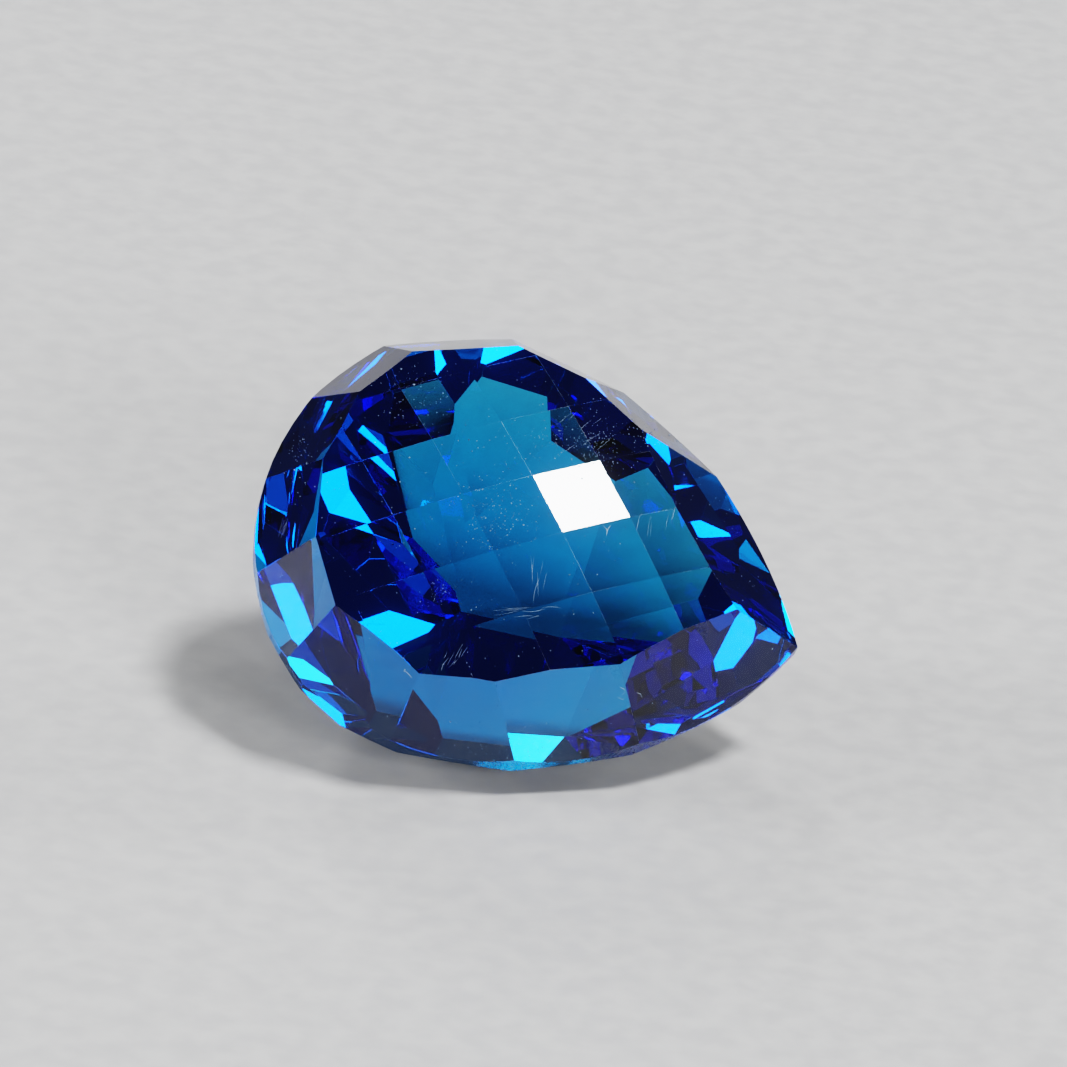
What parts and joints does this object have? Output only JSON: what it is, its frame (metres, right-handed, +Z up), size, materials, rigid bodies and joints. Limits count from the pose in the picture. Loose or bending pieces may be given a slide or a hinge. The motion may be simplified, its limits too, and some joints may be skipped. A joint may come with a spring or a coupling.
{
  "type": "pear-cut topaz gemstone",
  "caption": "Loose pear-shaped blue topaz with a checkerboard crown, a thin girdle and a pointed faceted pavilion, lying on one pavilion facet.",
  "frame": {"origin": "middle of the bounding box's base, on the surface the stone lies on", "axes": "+Z up; +X along the longest extent, towards the pear's tip; the crown leans towards -Y"},
  "size_m": [0.0118, 0.0084, 0.008],
  "materials": {
    "topaz": "polished clear deep blue topaz, facet edges and girdle finely worn"
  },
  "bodies": {
    "root": {"topaz": "topaz"}
  },
  "joints": []
}
